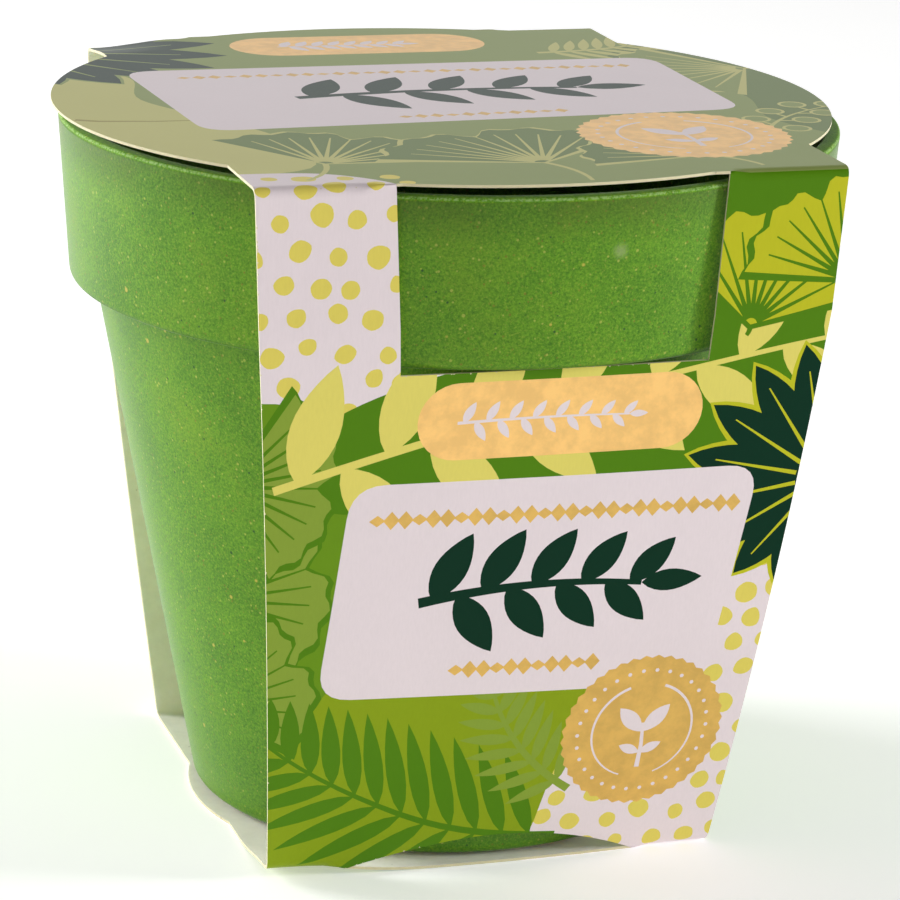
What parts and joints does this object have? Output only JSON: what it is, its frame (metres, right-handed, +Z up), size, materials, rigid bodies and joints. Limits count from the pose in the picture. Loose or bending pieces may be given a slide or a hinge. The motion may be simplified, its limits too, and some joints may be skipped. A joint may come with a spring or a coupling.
{
  "type": "herb grow kit",
  "caption": "Tapered bamboo-fibre plant pot with a deep collar, held in a folded card sleeve, with soil discs, a seed packet and a folded leaflet inside.",
  "frame": {"origin": "on the surface that the kit stands on, at the middle of its outline seen from above", "axes": "+Z up, -Y towards the front panel, +Y towards the back panel, X across the sleeve's open sides"},
  "size_m": [0.116, 0.115, 0.1059],
  "materials": {
    "bamboo_fibre": "matt moulded bamboo fibre, green with fine darker and yellow flecks",
    "printed_card": "folding box board, printed and varnished outside, plain grey-beige inside, gold foil panels",
    "coir": "pressed coconut coir, rough",
    "kraft_paper": "kraft paper, matt",
    "leaflet_paper": "uncoated off-white paper"
  },
  "bodies": {
    "root": {"pot": "bamboo_fibre", "card_sleeve": "printed_card", "soil_disc_lower": "coir", "soil_disc_upper": "coir", "seed_packet": "kraft_paper", "instruction_leaflet": "leaflet_paper"}
  },
  "joints": []
}
